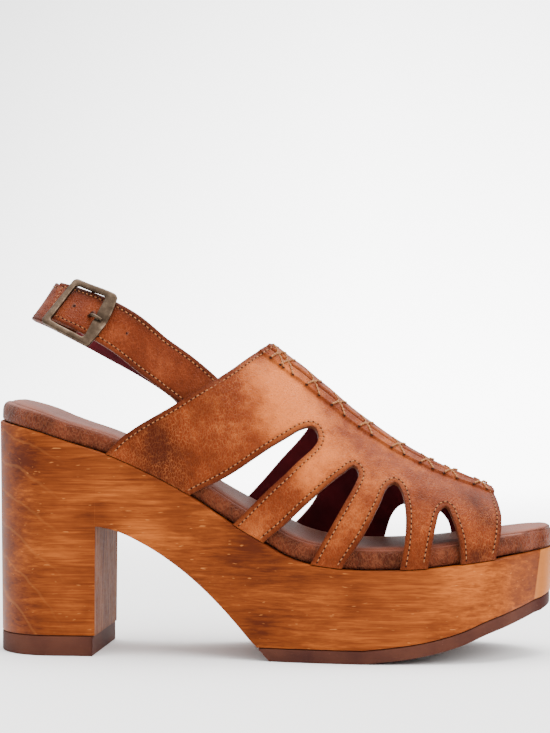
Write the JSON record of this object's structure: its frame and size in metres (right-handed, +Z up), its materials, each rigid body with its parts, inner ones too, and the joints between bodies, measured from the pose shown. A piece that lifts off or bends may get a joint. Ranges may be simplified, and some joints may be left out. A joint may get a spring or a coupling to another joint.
{
  "type": "platform sandal",
  "caption": "Wooden-platform clog sandal with a block heel, cut-out leather upper, open toe and a buckled strap round the heel.",
  "frame": {"origin": "middle of the part's bounding box in plan, on the floor plane", "axes": "+X from heel to toe, +Y to the inner side of the right foot, +Z up"},
  "size_m": [0.24, 0.0838, 0.16],
  "materials": {
    "wood": "stained and satin varnished",
    "rubber": "matt dark reddish brown",
    "footbed_leather": "soft padded leather",
    "upper_leather": "burnished tan, satin",
    "strap_leather": "burnished tan, satin",
    "brass": "aged, brushed"
  },
  "bodies": {
    "root": {"wood_platform": "wood", "heel_lift": "rubber", "outsole": "rubber", "insole": "footbed_leather", "upper": "upper_leather", "strap_billet": "strap_leather", "strap_heel": "strap_leather", "buckle_frame": "brass", "buckle_prong": "brass"}
  },
  "joints": []
}
